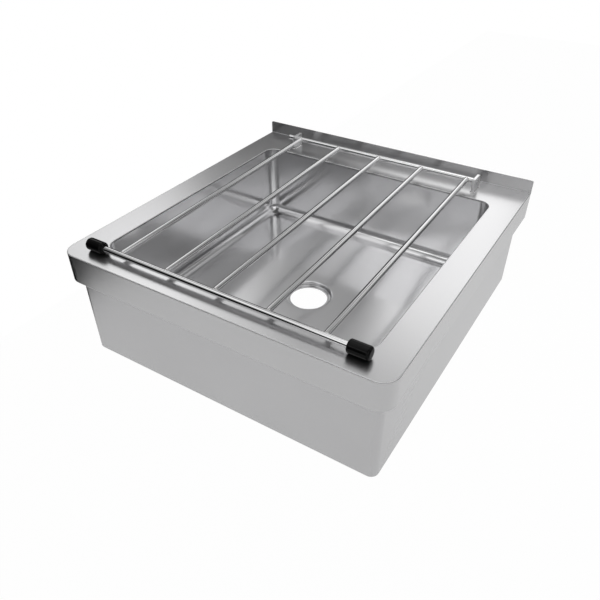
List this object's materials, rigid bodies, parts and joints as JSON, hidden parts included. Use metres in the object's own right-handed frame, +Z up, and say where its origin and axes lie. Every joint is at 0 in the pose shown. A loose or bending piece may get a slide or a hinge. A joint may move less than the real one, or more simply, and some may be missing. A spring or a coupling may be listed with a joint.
{
  "type": "mop service sink",
  "caption": "Wall-mounted stainless service sink: square coved bowl in a boxed casing with a small upstand, under a hinged bar grate on rubber buffers.",
  "frame": {"origin": "centre of the box's base, on the surface that the casing's bottom edge stands on", "axes": "+Z up, +Y towards the wall that the sink is fixed to, +X to the right of someone facing that wall"},
  "size_m": [0.56, 0.58, 0.218],
  "materials": {
    "top_steel": "satin polished",
    "bowl_steel": "satin polished",
    "casing_steel": "satin",
    "hidden_steel": "mill",
    "bracket_steel": "satin polished",
    "rod_steel": "bright polished",
    "buffer_rubber": "satin",
    "damping_rubber": "matte"
  },
  "bodies": {
    "sink": {"deck": "top_steel", "bowl": "bowl_steel", "casing": "casing_steel", "back_panel": "hidden_steel", "front_stiffener": "hidden_steel", "rear_stiffener": "hidden_steel", "wall_plate_left": "hidden_steel", "wall_plate_right": "hidden_steel", "damping_pads": "damping_rubber", "earthing_tag": "hidden_steel", "hinge_bracket_left": "bracket_steel", "hinge_bracket_right": "bracket_steel"},
    "grate": {"hinge_rod": "rod_steel", "front_rod": "rod_steel", "bar_1": "rod_steel", "bar_2": "rod_steel", "bar_3": "rod_steel", "bar_4": "rod_steel", "bar_5": "rod_steel", "buffer_left": "buffer_rubber", "buffer_right": "buffer_rubber"}
  },
  "joints": [
    {"name": "grate_hinge", "type": "hinge", "parent": "sink", "child": "grate", "pos_m": [0, 0.2485, 0.2098], "axis": [-1, 0, 0], "range_deg": [0, 94]}
  ]
}
